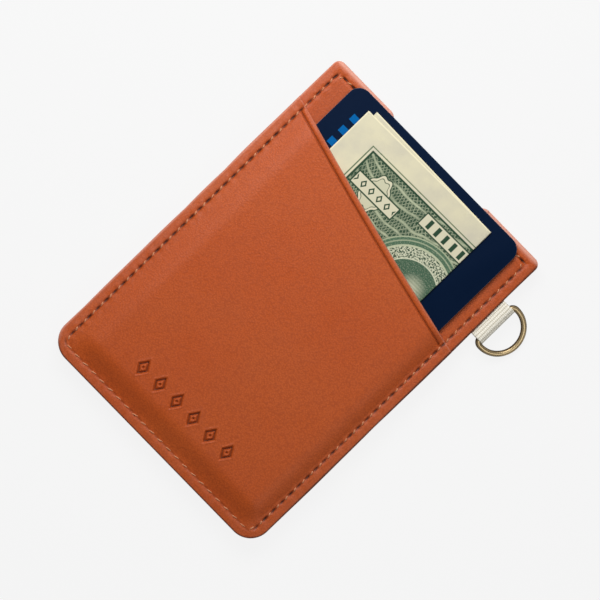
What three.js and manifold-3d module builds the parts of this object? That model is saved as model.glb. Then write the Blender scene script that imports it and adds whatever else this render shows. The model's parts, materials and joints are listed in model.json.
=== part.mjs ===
// A slim vertical card wallet in tan leather: a slanted front pocket and a straight rear pocket sewn to a
// stiffened core with a thumb notch, a webbing tab with a D-ring, and the card and folded banknote it carries.
// Millimetres, +Z up. The wallet lies on its rear pocket: the origin is the centre of the wallet's outline, on
// the plane it rests on. +Y points to the open end and +Z out of the front.
import * as THREE from "three";
import { mergeVertices } from "three/addons/utils/BufferGeometryUtils.js";
import Module from "manifold-3d";

const wasm = await Module();
wasm.setup();

// ---- Driving dimensions -------------------------------------------------------------------------------------

const WALLET = { width: 66.8, length: 94, bottomCorner: 5, topCorner: 1.8 };
const NOTCH = { radius: 16, centreY: 53.25, lip: 2.5 }; // thumb notch cut into the top edge
const LEATHER = 0.9; // skived panel leather
const LINING = 0.2; // woven pocket lining
const BOARD = 0.8; // bonded-leather stiffener
const SEAM = { inset: 2.5, threadWidth: 0.5, proud: 0.2 };

const FRONT_MOUTH = { left: 34.3, middle: 25.5, right: 18 }; // heights of the slanted opening across the width
const REAR_MOUTH = { left: 20, middle: 20, right: 20 };
const HEM = { depth: 7, thickness: LINING }; // leather turned in behind each mouth
const DOME = { inset: 6.6, corner: 4, shoulder: 3.6 }; // plateau where the contents push a pocket out

const CARD = { width: 53.98, length: 85.6, thickness: 0.76, corner: 3.18, centreX: 0.95, topY: 46.3 };
const CONTACT_PLATE = { width: 11.4, length: 12.6, thickness: 0.1, fromEdge: 16, recess: 0.14, gap: 0.3 };
const NOTE = { width: 39.8, length: 66.3, thickness: 0.5, rightX: 20, topY: 43.75, slip: { x: 1.6, y: 0.65 } };
const REAR_SLOT = 0.8; // room for one card behind the rear pocket
const CARD_LIFT = 0.3; // the card lies on the seam thread, just clear of the leather
const PLAY = 0.1; // play between card, note and lining

const RING = { wire: 1.4, arc: 6, arcOffset: 1.7, bend: 1.4, barHalf: 4.6, split: 0.2 };
const TAB = { width: 10, ply: 0.38, centreY: 29.7, inside: 4, wireClearance: 0.3, barX: 35.75 };

const ARC_DIVISIONS = 6;
const FAR = 200; // reach of the cutting prisms
const SUNK = 0.3; // how far an added or cut shape runs past the face it starts from

// ---- Heights of the layers, from the resting plane up ------------------------------------------------------------

const REAR_DOME = LEATHER + LINING + REAR_SLOT - LEATHER; // how far the rear pocket stands off its own seam
const BACK_PANEL_Z = LEATHER + LINING + REAR_SLOT;
const BOARD_Z = BACK_PANEL_Z + LEATHER;
const MIDDLE_PANEL_Z = BOARD_Z + BOARD;
const FRONT_SEAM_Z = MIDDLE_PANEL_Z + LEATHER;
const CARD_Z = FRONT_SEAM_Z + CARD_LIFT;
const NOTE_Z = CARD_Z + CARD.thickness + PLAY;
const FRONT_LINING_Z = NOTE_Z + NOTE.thickness + PLAY;
const FRONT_DOME = FRONT_LINING_Z + LINING - FRONT_SEAM_Z;
const BAR_Z = BOARD_Z + BOARD / 2;

// ---- Materials ------------------------------------------------------------------------------------------------------

const material = (color, roughness, metalness = 0) =>
  new THREE.MeshStandardMaterial({ color, roughness, metalness });
const MATERIALS = {
  leather: material(0xb9582f, 0.55),
  lining: material(0x6b4a36, 0.9),
  board: material(0x8a6a4c, 0.9),
  thread: material(0xd08a5c, 0.6),
  webbing: material(0xe4e0d0, 0.85),
  brass: material(0xb79a5a, 0.35, 1),
  card: material(0x14213d, 0.4),
  contact: material(0xd8b661, 0.3, 1),
  paper: material(0xd9d6bd, 0.85),
};

// ---- Outlines -------------------------------------------------------------------------------------------------------

// The path's points without the doubles that meeting arcs and lines leave.
function clean(path) {
  const points = path.getPoints(ARC_DIVISIONS);
  return points.filter((p, i) => p.distanceTo(points[(i + points.length - 1) % points.length]) > 1e-4);
}

// The wallet's outline moved in by `inset`, counter-clockwise, with the thumb notch where the layer has one.
function walletOutline(inset, notched) {
  const half = WALLET.width / 2 - inset;
  const bottom = -WALLET.length / 2 + inset;
  const top = WALLET.length / 2 - inset;
  const low = Math.max(WALLET.bottomCorner - inset, 0.5);
  const high = Math.max(WALLET.topCorner - inset, 0.4);
  const path = new THREE.Path();
  path.absarc(half - low, bottom + low, low, -Math.PI / 2, 0);
  path.absarc(half - high, top - high, high, 0, Math.PI / 2);
  if (notched) notchEdge(path, top, inset);
  path.absarc(-half + high, top - high, high, Math.PI / 2, Math.PI);
  path.absarc(-half + low, bottom + low, low, Math.PI, 1.5 * Math.PI);
  return clean(path);
}

// The thumb notch, from right to left: a rounded lip, the arc under the thumb and the other lip.
function notchEdge(path, top, inset) {
  const radius = NOTCH.radius + inset;
  const lip = Math.max(NOTCH.lip - inset, 0.3);
  const rise = top - lip - NOTCH.centreY;
  const lipX = Math.sqrt((radius + lip) ** 2 - rise ** 2);
  const meets = Math.atan2(rise, lipX);
  path.absarc(lipX, top - lip, lip, Math.PI / 2, Math.PI + meets);
  path.absarc(0, NOTCH.centreY, radius, meets, -Math.PI - meets, true);
  path.absarc(-lipX, top - lip, lip, -meets, Math.PI / 2);
}

// A rectangle with round corners, from its lowest x and y.
function roundedRectangle(x, y, width, length, corner) {
  const path = new THREE.Path();
  path.absarc(x + width - corner, y + corner, corner, -Math.PI / 2, 0);
  path.absarc(x + width - corner, y + length - corner, corner, 0, Math.PI / 2);
  path.absarc(x + corner, y + length - corner, corner, Math.PI / 2, Math.PI);
  path.absarc(x + corner, y + corner, corner, Math.PI, 1.5 * Math.PI);
  return clean(path);
}

// The mouth's line carried past both sides of the wallet, raised by `lift`.
function mouthCurve(mouth, lift) {
  const half = WALLET.width / 2;
  const control = 2 * mouth.middle - (mouth.left + mouth.right) / 2;
  return new THREE.QuadraticBezierCurve(
    new THREE.Vector2(-half, mouth.left + lift),
    new THREE.Vector2(0, control + lift),
    new THREE.Vector2(half, mouth.right + lift),
  );
}

// Everything on one side of a mouth's line: side 1 is towards the open end, side -1 towards the bottom.
function besideMouth(mouth, lift, side) {
  const line = mouthCurve(mouth, lift).getPoints(2 * ARC_DIVISIONS);
  const first = line[0];
  const last = line.at(-1);
  const points = [
    new THREE.Vector2(-FAR, first.y),
    ...line,
    new THREE.Vector2(FAR, last.y),
    new THREE.Vector2(FAR, side * FAR),
    new THREE.Vector2(-FAR, side * FAR),
  ];
  return prism(points, -FAR, FAR);
}

// ---- Solids ---------------------------------------------------------------------------------------------------------

function extrude(points, depth, options = {}, holes = []) {
  const shape = new THREE.Shape(points);
  shape.holes = holes.map((hole) => new THREE.Path(hole));
  return new THREE.ExtrudeGeometry(shape, { depth, bevelEnabled: false, ...options });
}

function toSolid(geometry) {
  const bare = new THREE.BufferGeometry().setAttribute("position", geometry.getAttribute("position"));
  if (geometry.index) bare.setIndex(geometry.index);
  const merged = mergeVertices(bare, 1e-4);
  return new wasm.Manifold(
    new wasm.Mesh({
      numProp: 3,
      vertProperties: new Float32Array(merged.getAttribute("position").array),
      triVerts: new Uint32Array(merged.index.array),
    }),
  );
}

function toGeometry(solid) {
  const mesh = solid.getMesh();
  return new THREE.BufferGeometry()
    .setAttribute("position", new THREE.BufferAttribute(new Float32Array(mesh.vertProperties), 3))
    .setIndex(new THREE.BufferAttribute(new Uint32Array(mesh.triVerts), 1));
}

const prism = (points, low, high, holes) =>
  toSolid(extrude(points, high - low, {}, holes).translate(0, 0, low));
const box = (x0, x1, y0, y1, z0, z1) =>
  toSolid(
    new THREE.BoxGeometry(x1 - x0, y1 - y0, z1 - z0).translate((x0 + x1) / 2, (y0 + y1) / 2, (z0 + z1) / 2),
  );

// The swell that a pocket's contents make: a plateau `rise` high with round shoulders, carried past the mouth
// and sunk a little below the plane it rises from.
function swell(rise, shoulder) {
  const half = WALLET.width / 2 - DOME.inset;
  const bottom = -WALLET.length / 2 + DOME.inset;
  const outline = roundedRectangle(-half, bottom, 2 * half, WALLET.length, DOME.corner);
  const bevel = { bevelEnabled: true, bevelSize: shoulder, bevelThickness: rise, bevelSegments: 4 };
  const both = toSolid(extrude(outline, 2 * SUNK, bevel).translate(0, 0, -2 * SUNK));
  return both.intersect(box(-FAR, FAR, -FAR, FAR, -SUNK, FAR));
}

// A pocket's leather, built up from the plane of its seam: flat round the stitching, pushed out over the
// contents and turned in behind the mouth.
function pocketPanel(mouth, rise) {
  const flange = prism(walletOutline(0, false), 0, LEATHER);
  const outside = swell(rise, DOME.shoulder).translate([0, 0, LEATHER]);
  const hem = box(-FAR, FAR, -FAR, FAR, rise - HEM.thickness, FAR).intersect(besideMouth(mouth, -HEM.depth, 1));
  const hollow = swell(rise, DOME.shoulder - LEATHER).subtract(hem);
  return toGeometry(flange.add(outside).intersect(besideMouth(mouth, 0, -1)).subtract(hollow));
}

// The flat lining behind a pocket's plateau, from the pocket's bottom up to the turned-in hem.
function pocketLining(mouth) {
  const half = WALLET.width / 2 - DOME.inset;
  const bottom = -WALLET.length / 2 + DOME.inset;
  const sheet = prism(roundedRectangle(-half, bottom, 2 * half, WALLET.length, DOME.corner), 0, LINING);
  return toGeometry(sheet.intersect(besideMouth(mouth, -HEM.depth - 0.3, -1)));
}

// One side of the seam, a closed ring of thread that steps from the pocket's leather down to the core panel.
function seamThread(mouth) {
  const outer = walletOutline(SEAM.inset - SEAM.threadWidth / 2, true);
  const inner = walletOutline(SEAM.inset + SEAM.threadWidth / 2, true);
  const ring = (low, high) => prism(outer, low, high, [inner]);
  const step = 0.5;
  const onCore = ring(0, SEAM.proud).intersect(besideMouth(mouth, 0.05, 1));
  const onPocket = ring(LEATHER, LEATHER + SEAM.proud).intersect(besideMouth(mouth, step, -1));
  const between = ring(0, LEATHER + SEAM.proud)
    .intersect(besideMouth(mouth, 0.05, 1))
    .intersect(besideMouth(mouth, step, -1));
  return toGeometry(onCore.add(onPocket).add(between));
}

// The stiffener fills the core edge to edge and is cut away round the sewn end of the tab.
function stiffener() {
  const side = WALLET.width / 2;
  const reach = TAB.width / 2 + 0.3;
  const window = box(side - TAB.inside - 0.3, FAR, TAB.centreY - reach, TAB.centreY + reach, -1, BOARD + 1);
  return toGeometry(prism(walletOutline(0, true), 0, BOARD).subtract(window));
}

// The tab in side view: two plies sewn into the core, wrapped round the ring's bar. Drawn in X and Z.
function tabWebbing() {
  const plies = 2 * TAB.ply;
  const hole = RING.wire / 2 + TAB.wireClearance;
  const loop = hole + TAB.ply;
  const start = WALLET.width / 2 - TAB.inside - TAB.barX;
  const meets = Math.asin(plies / 2 / loop);
  const outline = new THREE.Path();
  outline.moveTo(start, -plies / 2);
  outline.absarc(0, 0, loop, Math.PI + meets, 3 * Math.PI - meets);
  outline.lineTo(start, plies / 2);
  const eye = new THREE.Path();
  eye.absarc(0, 0, hole, 0, 2 * Math.PI);
  const geometry = extrude(clean(outline), TAB.width, {}, [clean(eye).reverse()]);
  return geometry.translate(0, 0, -TAB.width / 2).rotateX(Math.PI / 2);
}

// The wire's centre line in its own plane, from one cut end in the middle of the bar round to the other.
// X runs from the bar out to the bow and Y along the bar.
function ringLine() {
  const quarter = (i) => (i * Math.PI) / 8;
  const corner = RING.barHalf + RING.bend;
  const half = [new THREE.Vector3(0, RING.split / 2, 0), new THREE.Vector3(0, RING.barHalf / 2, 0)];
  for (let i = 0; i <= 4; i++)
    half.push(
      new THREE.Vector3(
        RING.bend * (1 - Math.cos(quarter(i))),
        RING.barHalf + RING.bend * Math.sin(quarter(i)),
        0,
      ),
    );
  for (let i = 0; i < 6; i++) {
    const turn = Math.PI / 2 - (i * Math.PI) / 12;
    half.push(
      new THREE.Vector3(RING.arcOffset + RING.arc * Math.cos(turn), corner * Math.sin(turn), 0),
    );
  }
  const far = new THREE.Vector3(RING.arcOffset + RING.arc, 0, 0);
  const mirrored = half.map((p) => new THREE.Vector3(p.x, -p.y, 0)).reverse();
  return new THREE.CatmullRomCurve3([...half, far, ...mirrored], false, "centripetal");
}

function ringWire() {
  const section = new THREE.Path();
  section.absarc(0, 0, RING.wire / 2, 0, 2 * Math.PI);
  return extrude(clean(section), 1, { extrudePath: ringLine(), steps: 60 });
}

// The card's plastic body with the shallow recess that the contact plate is set in.
function cardBody() {
  const { width, length, corner, thickness } = CARD;
  const recess = box(
    -CONTACT_PLATE.width / 2 - CONTACT_PLATE.gap,
    CONTACT_PLATE.width / 2 + CONTACT_PLATE.gap,
    CONTACT_PLATE.fromEdge - CONTACT_PLATE.length / 2 - CONTACT_PLATE.gap,
    CONTACT_PLATE.fromEdge + CONTACT_PLATE.length / 2 + CONTACT_PLATE.gap,
    thickness - CONTACT_PLATE.recess,
    thickness + 1,
  );
  const slab = prism(roundedRectangle(-width / 2, 0, width, length, corner), 0, thickness);
  return toGeometry(slab.subtract(recess));
}

// The note folded twice across its length: two leaves of two plies, slipped a little against each other.
function foldedNote() {
  const { width, length, thickness, slip } = NOTE;
  const backLeaf = box(slip.x, width, slip.y, length + slip.y, 0, thickness / 2);
  const frontLeaf = box(0, width, 0, length, thickness / 2, thickness);
  return toGeometry(backLeaf.add(frontLeaf));
}

// ---- Assembly -------------------------------------------------------------------------------------------------------

const wallet = new THREE.Group();

function place(name, geometry, finish, x = 0, y = 0, z = 0, parent = wallet) {
  const mesh = new THREE.Mesh(geometry, MATERIALS[finish]);
  mesh.name = name;
  mesh.position.set(x, y, z);
  parent.add(mesh);
  return mesh;
}

const coreLayer = (depth) => extrude(walletOutline(0, true), depth);

// The rear pocket and its thread are built like the front ones and turned over to face down.
const rear = new THREE.Group();
rear.position.z = BACK_PANEL_Z;
rear.rotation.y = Math.PI;
wallet.add(rear);
place("rear_pocket_panel", pocketPanel(REAR_MOUTH, REAR_DOME), "leather", 0, 0, 0, rear);
place("rear_pocket_lining", pocketLining(REAR_MOUTH), "lining", 0, 0, REAR_DOME - LINING, rear);
place("seam_thread_back", seamThread(REAR_MOUTH), "thread", 0, 0, 0, rear);

place("back_panel", coreLayer(LEATHER), "leather", 0, 0, BACK_PANEL_Z);
place("stiffener_board", stiffener(), "board", 0, 0, BOARD_Z);
place("middle_panel", coreLayer(LEATHER), "leather", 0, 0, MIDDLE_PANEL_Z);
place("front_pocket_panel", pocketPanel(FRONT_MOUTH, FRONT_DOME), "leather", 0, 0, FRONT_SEAM_Z);
place("front_pocket_lining", pocketLining(FRONT_MOUTH), "lining", 0, 0, FRONT_LINING_Z);
place("seam_thread_front", seamThread(FRONT_MOUTH), "thread", 0, 0, FRONT_SEAM_Z);

place("tab_webbing", tabWebbing(), "webbing", TAB.barX, TAB.centreY, BAR_Z);

// The ring hangs from its bar until the bow rests on the plane that the wallet lies on.
const hanging = new THREE.Group();
hanging.position.set(TAB.barX, TAB.centreY, BAR_Z);
hanging.rotation.y = Math.asin((BAR_Z - RING.wire / 2) / (RING.arcOffset + RING.arc));
wallet.add(hanging);
place("d_ring", ringWire(), "brass", 0, 0, 0, hanging);

const cardBottom = CARD.topY - CARD.length;
place("card", cardBody(), "card", CARD.centreX, cardBottom, CARD_Z);
const plateZ = CARD_Z + CARD.thickness - CONTACT_PLATE.recess;
const plate = new THREE.BoxGeometry(CONTACT_PLATE.width, CONTACT_PLATE.length, CONTACT_PLATE.thickness);
plate.translate(0, CONTACT_PLATE.fromEdge, CONTACT_PLATE.thickness / 2);
place("card_contact_plate", plate, "contact", CARD.centreX, cardBottom, plateZ);
place("banknote", foldedNote(), "paper", NOTE.rightX - NOTE.width, NOTE.topY - NOTE.length, NOTE_Z);

export default wallet;
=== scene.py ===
"""A slim upright card wallet in tan leather, laid on a pale table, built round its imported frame."""

import json
import math

import bmesh
import bpy
from mathutils import Matrix, Vector, geometry, kdtree, noise


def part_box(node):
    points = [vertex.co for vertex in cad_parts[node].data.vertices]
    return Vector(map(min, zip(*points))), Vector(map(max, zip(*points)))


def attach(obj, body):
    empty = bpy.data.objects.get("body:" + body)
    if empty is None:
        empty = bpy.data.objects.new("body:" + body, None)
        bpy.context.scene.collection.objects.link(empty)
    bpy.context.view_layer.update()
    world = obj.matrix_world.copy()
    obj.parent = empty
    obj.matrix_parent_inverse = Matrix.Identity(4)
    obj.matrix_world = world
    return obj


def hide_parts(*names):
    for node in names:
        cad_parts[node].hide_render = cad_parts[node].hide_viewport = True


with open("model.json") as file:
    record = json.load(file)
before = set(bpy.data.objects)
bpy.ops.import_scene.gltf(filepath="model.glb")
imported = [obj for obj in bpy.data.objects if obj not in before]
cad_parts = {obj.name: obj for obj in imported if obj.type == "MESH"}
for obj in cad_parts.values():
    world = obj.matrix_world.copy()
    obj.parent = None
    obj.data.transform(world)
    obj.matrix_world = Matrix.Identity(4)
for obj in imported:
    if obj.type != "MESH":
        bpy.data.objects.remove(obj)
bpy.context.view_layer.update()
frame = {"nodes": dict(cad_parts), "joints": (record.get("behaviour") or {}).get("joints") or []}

bl_info = {
    "name": "Card Wallet",
    "version": (1, 0, 0),
    "blender": (4, 5, 0),
    "location": "View3D > Sidebar > Wallet",
    "description": "Builds a stitched leather card wallet, with its D-ring, card and folded banknote",
    "category": "Object",
}

MM = 0.001

# ---- The frame's own places, in metres ---------------------------------------------------------------

CORE_LOW, CORE_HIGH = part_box("middle_panel")
HALF_WIDTH = CORE_HIGH.x
HALF_LENGTH = CORE_HIGH.y
LEATHER = CORE_HIGH.z - CORE_LOW.z
FRONT_SEAM_Z = CORE_HIGH.z
FRONT_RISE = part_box("front_pocket_panel")[1].z - FRONT_SEAM_Z - LEATHER
REAR_SEAM_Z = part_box("back_panel")[0].z
REAR_RISE = REAR_SEAM_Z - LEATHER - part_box("rear_pocket_panel")[0].z
CARD_LOW, CARD_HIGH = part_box("card")
PLATE_LOW, PLATE_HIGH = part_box("card_contact_plate")
NOTE_LOW, NOTE_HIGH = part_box("banknote")
TAB_LOW, TAB_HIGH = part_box("tab_webbing")
RING_LOW, RING_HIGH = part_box("d_ring")
BAR = next(Vector(j["pos_m"]) for j in frame["joints"] if j["name"] == "ring_swing")


def linear(hex_colour):
    """An sRGB hex colour as the linear red, green and blue that shaders take."""
    shares = [int(hex_colour[i : i + 2], 16) / 255 for i in (1, 3, 5)]
    return tuple(s / 12.92 if s <= 0.04045 else ((s + 0.055) / 1.055) ** 2.4 for s in shares)


def size_property(name, millimetres, description):
    """A length that the panel shows, with its default in millimetres."""
    return bpy.props.FloatProperty(
        name=name, description=description, default=millimetres * MM, unit="LENGTH", precision=4
    )


def colour_property(name, hex_colour, description):
    """A colour that the panel shows, with its default as sRGB hex."""
    return bpy.props.FloatVectorProperty(
        name=name, description=description, default=linear(hex_colour), subtype="COLOR", min=0, max=1
    )


class WalletSizes(bpy.types.PropertyGroup):
    """Sizes of what the frame leaves open."""

    bottom_corner: size_property("Bottom corner", 5.5, "Radius of the two bottom corners")
    top_corner: size_property("Top corner", 1.8, "Radius of the two corners at the open end")
    mouth_left: size_property("Mouth left", 34.3, "Height of the slanted mouth at the left edge")
    mouth_middle: size_property("Mouth middle", 25.5, "Height of the slanted mouth at the middle")
    mouth_right: size_property("Mouth right", 18.0, "Height of the slanted mouth at the right edge")
    rear_mouth: size_property("Rear mouth", 20.0, "Height of the rear pocket's straight mouth")
    notch_radius: size_property("Notch radius", 16.0, "Radius of the thumb notch")
    notch_centre: size_property("Notch centre", 53.25, "Height of the centre of the thumb notch")
    notch_lip: size_property("Notch lip", 2.5, "Radius where the notch turns into the top edge")
    seam_inset: size_property("Seam inset", 2.5, "Distance of the stitching from the edge")
    seam_corner: size_property("Seam corner", 1.2, "Radius that the stitching turns in a corner")
    stitch_pitch: size_property("Stitch pitch", 2.75, "Distance from one needle hole to the next")
    thread: size_property("Thread", 0.38, "Thickness of the waxed thread")
    mark_height: size_property("Mark height", 3.9, "Height of the debossed marks")
    mark_spacing: size_property("Mark spacing", 5.5, "Distance between the debossed marks")
    mark_y: size_property("Mark position", -35.4, "Height of the row of debossed marks")
    wire: size_property("Ring wire", 1.4, "Thickness of the D-ring's wire")
    ribbon: size_property("Ribbon", 0.38, "Thickness of one ply of the tab's ribbon")
    rib: size_property("Rib spacing", 0.8, "Distance between the ribs of the ribbon")
    paper: size_property("Paper", 0.11, "Thickness of the banknote's paper")


class WalletColours(bpy.types.PropertyGroup):
    """Colours of the finishes."""

    leather: colour_property("Leather", "#BC5018", "Tan of the leather's face")
    leather_light: colour_property("Leather, light", "#C05820", "Patches that took less dye")
    leather_dark: colour_property("Leather, dark", "#9C3F12", "Patches that took more dye")
    # Left off the lit left side, so the dark edge elsewhere is partly painted shade.
    edge_paint: colour_property("Edge paint", "#6E3218", "Painted and burnished edges")
    # A painted highlight on the rounded edges and the lip, and partly wear on the flange.
    highlight_and_wear: colour_property("Bare edge", "#DFA08C", "Rounded edge at the open end, rubbed pale")
    # Also painted shade in the needle holes, the crease, the debossing and across the core.
    pressed: colour_property("Pressed leather", "#3C1508", "Needle holes, crease and debossing")
    thread: colour_property("Thread", "#E6B592", "Waxed thread")
    webbing: colour_property("Ribbon", "#F7F2E4", "Off-white grosgrain")
    brass: colour_property("Brass", "#CDB58A", "Antique brass where it is polished")
    # Partly painted shade, along the wire's inside and outside.
    patina: colour_property("Patina", "#3A2A12", "Antique brass where it is darkened")
    card: colour_property("Card", "#04142D", "Navy face of the card")
    card_mark: colour_property("Card bars", "#005C9E", "Blue bars on the card")
    paper: colour_property("Paper", "#D9D2B4", "Unprinted banknote paper")
    ink: colour_property("Ink", "#284531", "Dark green printing ink")
    table: colour_property("Table", "#F6F6F6", "Pale table under the wallet")


# ---- Outlines and paths ------------------------------------------------------------------------------

EDGE_BAND = 0.6 * MM  # the outermost strip, where the leather's edge is rounded
EDGE_CELLS = 5  # rows of faces across that strip
MOUTH_BAND = 3.2 * MM  # the strip along a mouth or a top edge
CELL = 0.8 * MM  # the size of a face elsewhere


def spread(share, zones):
    """Where a share of all the cells ends, across zones that are each (width, cells)."""
    cells_left = share * sum(cells for _, cells in zones)
    end = 0.0
    for width, cells in zones:
        used = min(cells_left, cells)
        end += width * used / cells
        cells_left -= used
    return end


def smooth(value, low, high):
    """0 below low, 1 above high and a smooth step between."""
    share = min(max((value - low) / (high - low), 0.0), 1.0)
    return share * share * (3 - 2 * share)


def hump(value, width):
    """1 at zero, falling away over about the width on both sides."""
    return math.exp(-((value / width) ** 2))


def slanted_mouth(x, sizes):
    """The height of the front pocket's mouth: a curve through its left, middle and right heights."""
    share = (x + HALF_WIDTH) / (2 * HALF_WIDTH)
    control = 2 * sizes.mouth_middle - (sizes.mouth_left + sizes.mouth_right) / 2
    ends = sizes.mouth_left * (1 - share) ** 2 + sizes.mouth_right * share**2
    return ends + 2 * control * share * (1 - share)


def notch_lip_centre(sizes):
    """How far from the middle the centre of the notch's lip is, and how high."""
    lip_y = HALF_LENGTH - sizes.notch_lip
    reach = sizes.notch_radius + sizes.notch_lip
    return math.sqrt(reach**2 - (lip_y - sizes.notch_centre) ** 2), lip_y


def notched_top(x, sizes):
    """The height of the top edge, which dips in the thumb notch."""
    lip_x, lip_y = notch_lip_centre(sizes)
    away = abs(x)
    if away >= lip_x:
        return HALF_LENGTH
    if away >= lip_x * sizes.notch_radius / (sizes.notch_radius + sizes.notch_lip):
        return lip_y + math.sqrt(sizes.notch_lip**2 - (away - lip_x) ** 2)
    return sizes.notch_centre - math.sqrt(sizes.notch_radius**2 - away**2)


def depth_inside(x, y, corner, top=4 * HALF_LENGTH):
    """How far a point lies inside the wallet's outline, which may be left open at the top."""
    middle = (top - HALF_LENGTH) / 2
    across = abs(x) - (HALF_WIDTH - corner)
    along = abs(y - middle) - ((top + HALF_LENGTH) / 2 - corner)
    return corner - math.hypot(max(across, 0), max(along, 0)) - min(max(across, along), 0)


def depth_in_core(x, y, sizes):
    """How far a point lies inside the notched outline, near enough for the stitching and the edge."""
    sides = depth_inside(x, y, sizes.bottom_corner if y < 0 else sizes.top_corner, HALF_LENGTH)
    lip_x, _ = notch_lip_centre(sizes)
    if abs(x) > lip_x:
        return sides
    from_notch = math.hypot(x, y - sizes.notch_centre) - sizes.notch_radius
    return min(from_notch, depth_inside(x, y, sizes.bottom_corner))


def round_corner(x, y, radius, corner_y):
    """Moves a point of a square corner to its place inside the round one. corner_y is -1 below, 1 above."""
    u = (abs(x) - HALF_WIDTH + radius) / radius
    v = (corner_y * y - HALF_LENGTH + radius) / radius
    if u <= 0 or v <= 0:
        return x, y
    new_u = u * math.sqrt(1 - v * v / 2)
    new_v = v * math.sqrt(1 - u * u / 2)
    new_x = math.copysign(HALF_WIDTH - radius + radius * new_u, x)
    return new_x, corner_y * (HALF_LENGTH - radius + radius * new_v)


def arc_points(x, y, radius, start, end, steps):
    """Points on an arc, angles in degrees."""
    angles = [math.radians(start + (end - start) * i / steps) for i in range(steps + 1)]
    return [Vector((x + radius * math.cos(a), y + radius * math.sin(a), 0)) for a in angles]


def seam_outline(sizes):
    """The closed line that the stitching follows, counter-clockwise."""
    inset, corner = sizes.seam_inset, sizes.seam_corner
    x = HALF_WIDTH - inset - corner
    y = HALF_LENGTH - inset - corner
    radius = sizes.notch_radius + inset
    top = HALF_LENGTH - inset
    notch_x = math.sqrt(radius**2 - (top - sizes.notch_centre) ** 2)
    meets = math.degrees(math.atan2(top - sizes.notch_centre, notch_x))
    return [
        *arc_points(x, -y, corner, -90, 0, 6),
        *arc_points(x, y, corner, 0, 90, 6),
        *arc_points(0, sizes.notch_centre, radius, meets, -180 - meets, 40),
        *arc_points(-x, y, corner, 90, 180, 6),
        *arc_points(-x, -y, corner, 180, 270, 6),
    ]


def walk(points, pitch):
    """Evenly spaced (point, direction) pairs on a closed line, as near to the pitch as it allows."""
    ends = [*points[1:], points[0]]
    length = sum((b - a).length for a, b in zip(points, ends))
    count = round(length / pitch)
    step = length / count
    steps = []
    covered = 0.0
    for a, b in zip(points, ends):
        run = (b - a).length
        while run > 0 and len(steps) < count and len(steps) * step <= covered + run:
            along = (b - a) / run
            steps.append((a + along * (len(steps) * step - covered), along))
        covered += run
    return steps


# ---- Meshes ------------------------------------------------------------------------------------------


def finish_piece(bm, name, body, replaced, materials, sharp_angle=None, flat=False):
    """Turns a bmesh into a piece that rides on a body and stands for its CAD nodes."""
    mesh = bpy.data.meshes.new(name)
    bm.to_mesh(mesh)
    bm.free()
    for polygon in mesh.polygons:
        polygon.use_smooth = not flat
    if sharp_angle:
        mesh.set_sharp_from_angle(angle=math.radians(sharp_angle))
    for material in materials:
        mesh.materials.append(material)
    piece = bpy.data.objects.new(name, mesh)
    bpy.context.scene.collection.objects.link(piece)
    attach(piece, body)
    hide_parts(*replaced)


def add_back(bm, back):
    """Gives a flat grid a second side. The layer that it returns is 1 in front, and has the value of back
    on the second side."""
    side = bm.verts.layers.float.new("side")
    for vert in bm.verts:
        vert[side] = 1.0
    made = bmesh.ops.extrude_face_region(bm, geom=bm.faces[:])
    for vert in [g for g in made["geom"] if isinstance(g, bmesh.types.BMVert)]:
        vert[side] = back
    return side


def running_lengths(line):
    """The distance along a line to each of its points."""
    lengths = [0.0]
    for a, b in zip(line, line[1:]):
        lengths.append(lengths[-1] + (b - a).length)
    return lengths


def refine(bm, side, place, wanted, cuts):
    """Subdivides the faces whose place on the sheet is wanted(x, y, side)."""
    chosen = set()
    for face in bm.faces:
        middle = face.calc_center_median()
        x, y = place(middle.x, middle.y)
        if wanted(x, y, sum(v[side] for v in face.verts) / len(face.verts)):
            chosen.update(face.edges)
    bmesh.ops.subdivide_edges(bm, edges=list(chosen), cuts=cuts, use_grid_fill=True)


def leather_sheet(columns, rows, place, front, back, fine_places):
    """A closed sheet of leather. A grid in shares of its width and length is thickened, refined where
    fine_places asks, and laid out: place gives x and y, and front and back give z and three shades, which
    are the painted edge, the pressed places, which hold painted shade, and the pale edges, which hold a
    painted highlight and some wear."""
    bm = bmesh.new()
    across = sum(cells for _, cells in columns)
    along = sum(cells for _, cells in rows)
    bmesh.ops.create_grid(bm, x_segments=across, y_segments=along, size=0.5)
    bmesh.ops.translate(bm, verts=bm.verts, vec=(0.5, 0.5, 0))
    side = add_back(bm, 0.0)
    # The pressed layer carries painted shade, and the bare layer a painted highlight with some wear.
    shades = [bm.verts.layers.float.new(name) for name in ("edge", "pressed", "bare")]
    for wanted, cuts in fine_places:
        refine(bm, side, place, wanted, cuts)
    for vert in bm.verts:
        x, y = place(vert.co.x, vert.co.y)
        # The wall of a refined edge has vertices between the two sides.
        share = vert[side]
        behind = back(x, y) if share < 1 else front(x, y)
        ahead = front(x, y) if 0 < share < 1 else behind
        z, *values = [b + (a - b) * share for a, b in zip(ahead, behind)]
        for shade, value in zip(shades, values):
            vert[shade] = value
        vert.co = (x, y, z)
    bmesh.ops.recalc_face_normals(bm, faces=bm.faces)
    # A thin sheet with a notch can come out inside out.
    if bm.calc_volume(signed=True) < 0:
        bmesh.ops.reverse_faces(bm, faces=bm.faces)
    return bm


def wander(x, y):
    """The small waviness of a cut and sewn edge, which dies out away from the sides."""
    waviness = 0.24 * MM * noise.noise(Vector((math.copysign(2, x), y * 60, 0.5)))
    return waviness * (abs(x) / HALF_WIDTH) ** 12


def roll(depth, radius):
    """How far a rounded edge has dropped at a depth inside the outline."""
    inside = min(max(radius - depth, 0), radius)
    return radius - math.sqrt(radius**2 - inside**2)


def sag(depth):
    """How far the flange has been pressed down towards its edge."""
    return 0.16 * MM * max(0, 1 - depth / (2.6 * MM)) ** 2


def lit_left_edge(x):
    """1 along the left side, which faces the light, fading round its corners."""
    return smooth(-x, HALF_WIDTH - 3.5 * MM, HALF_WIDTH - 0.4 * MM)


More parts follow.
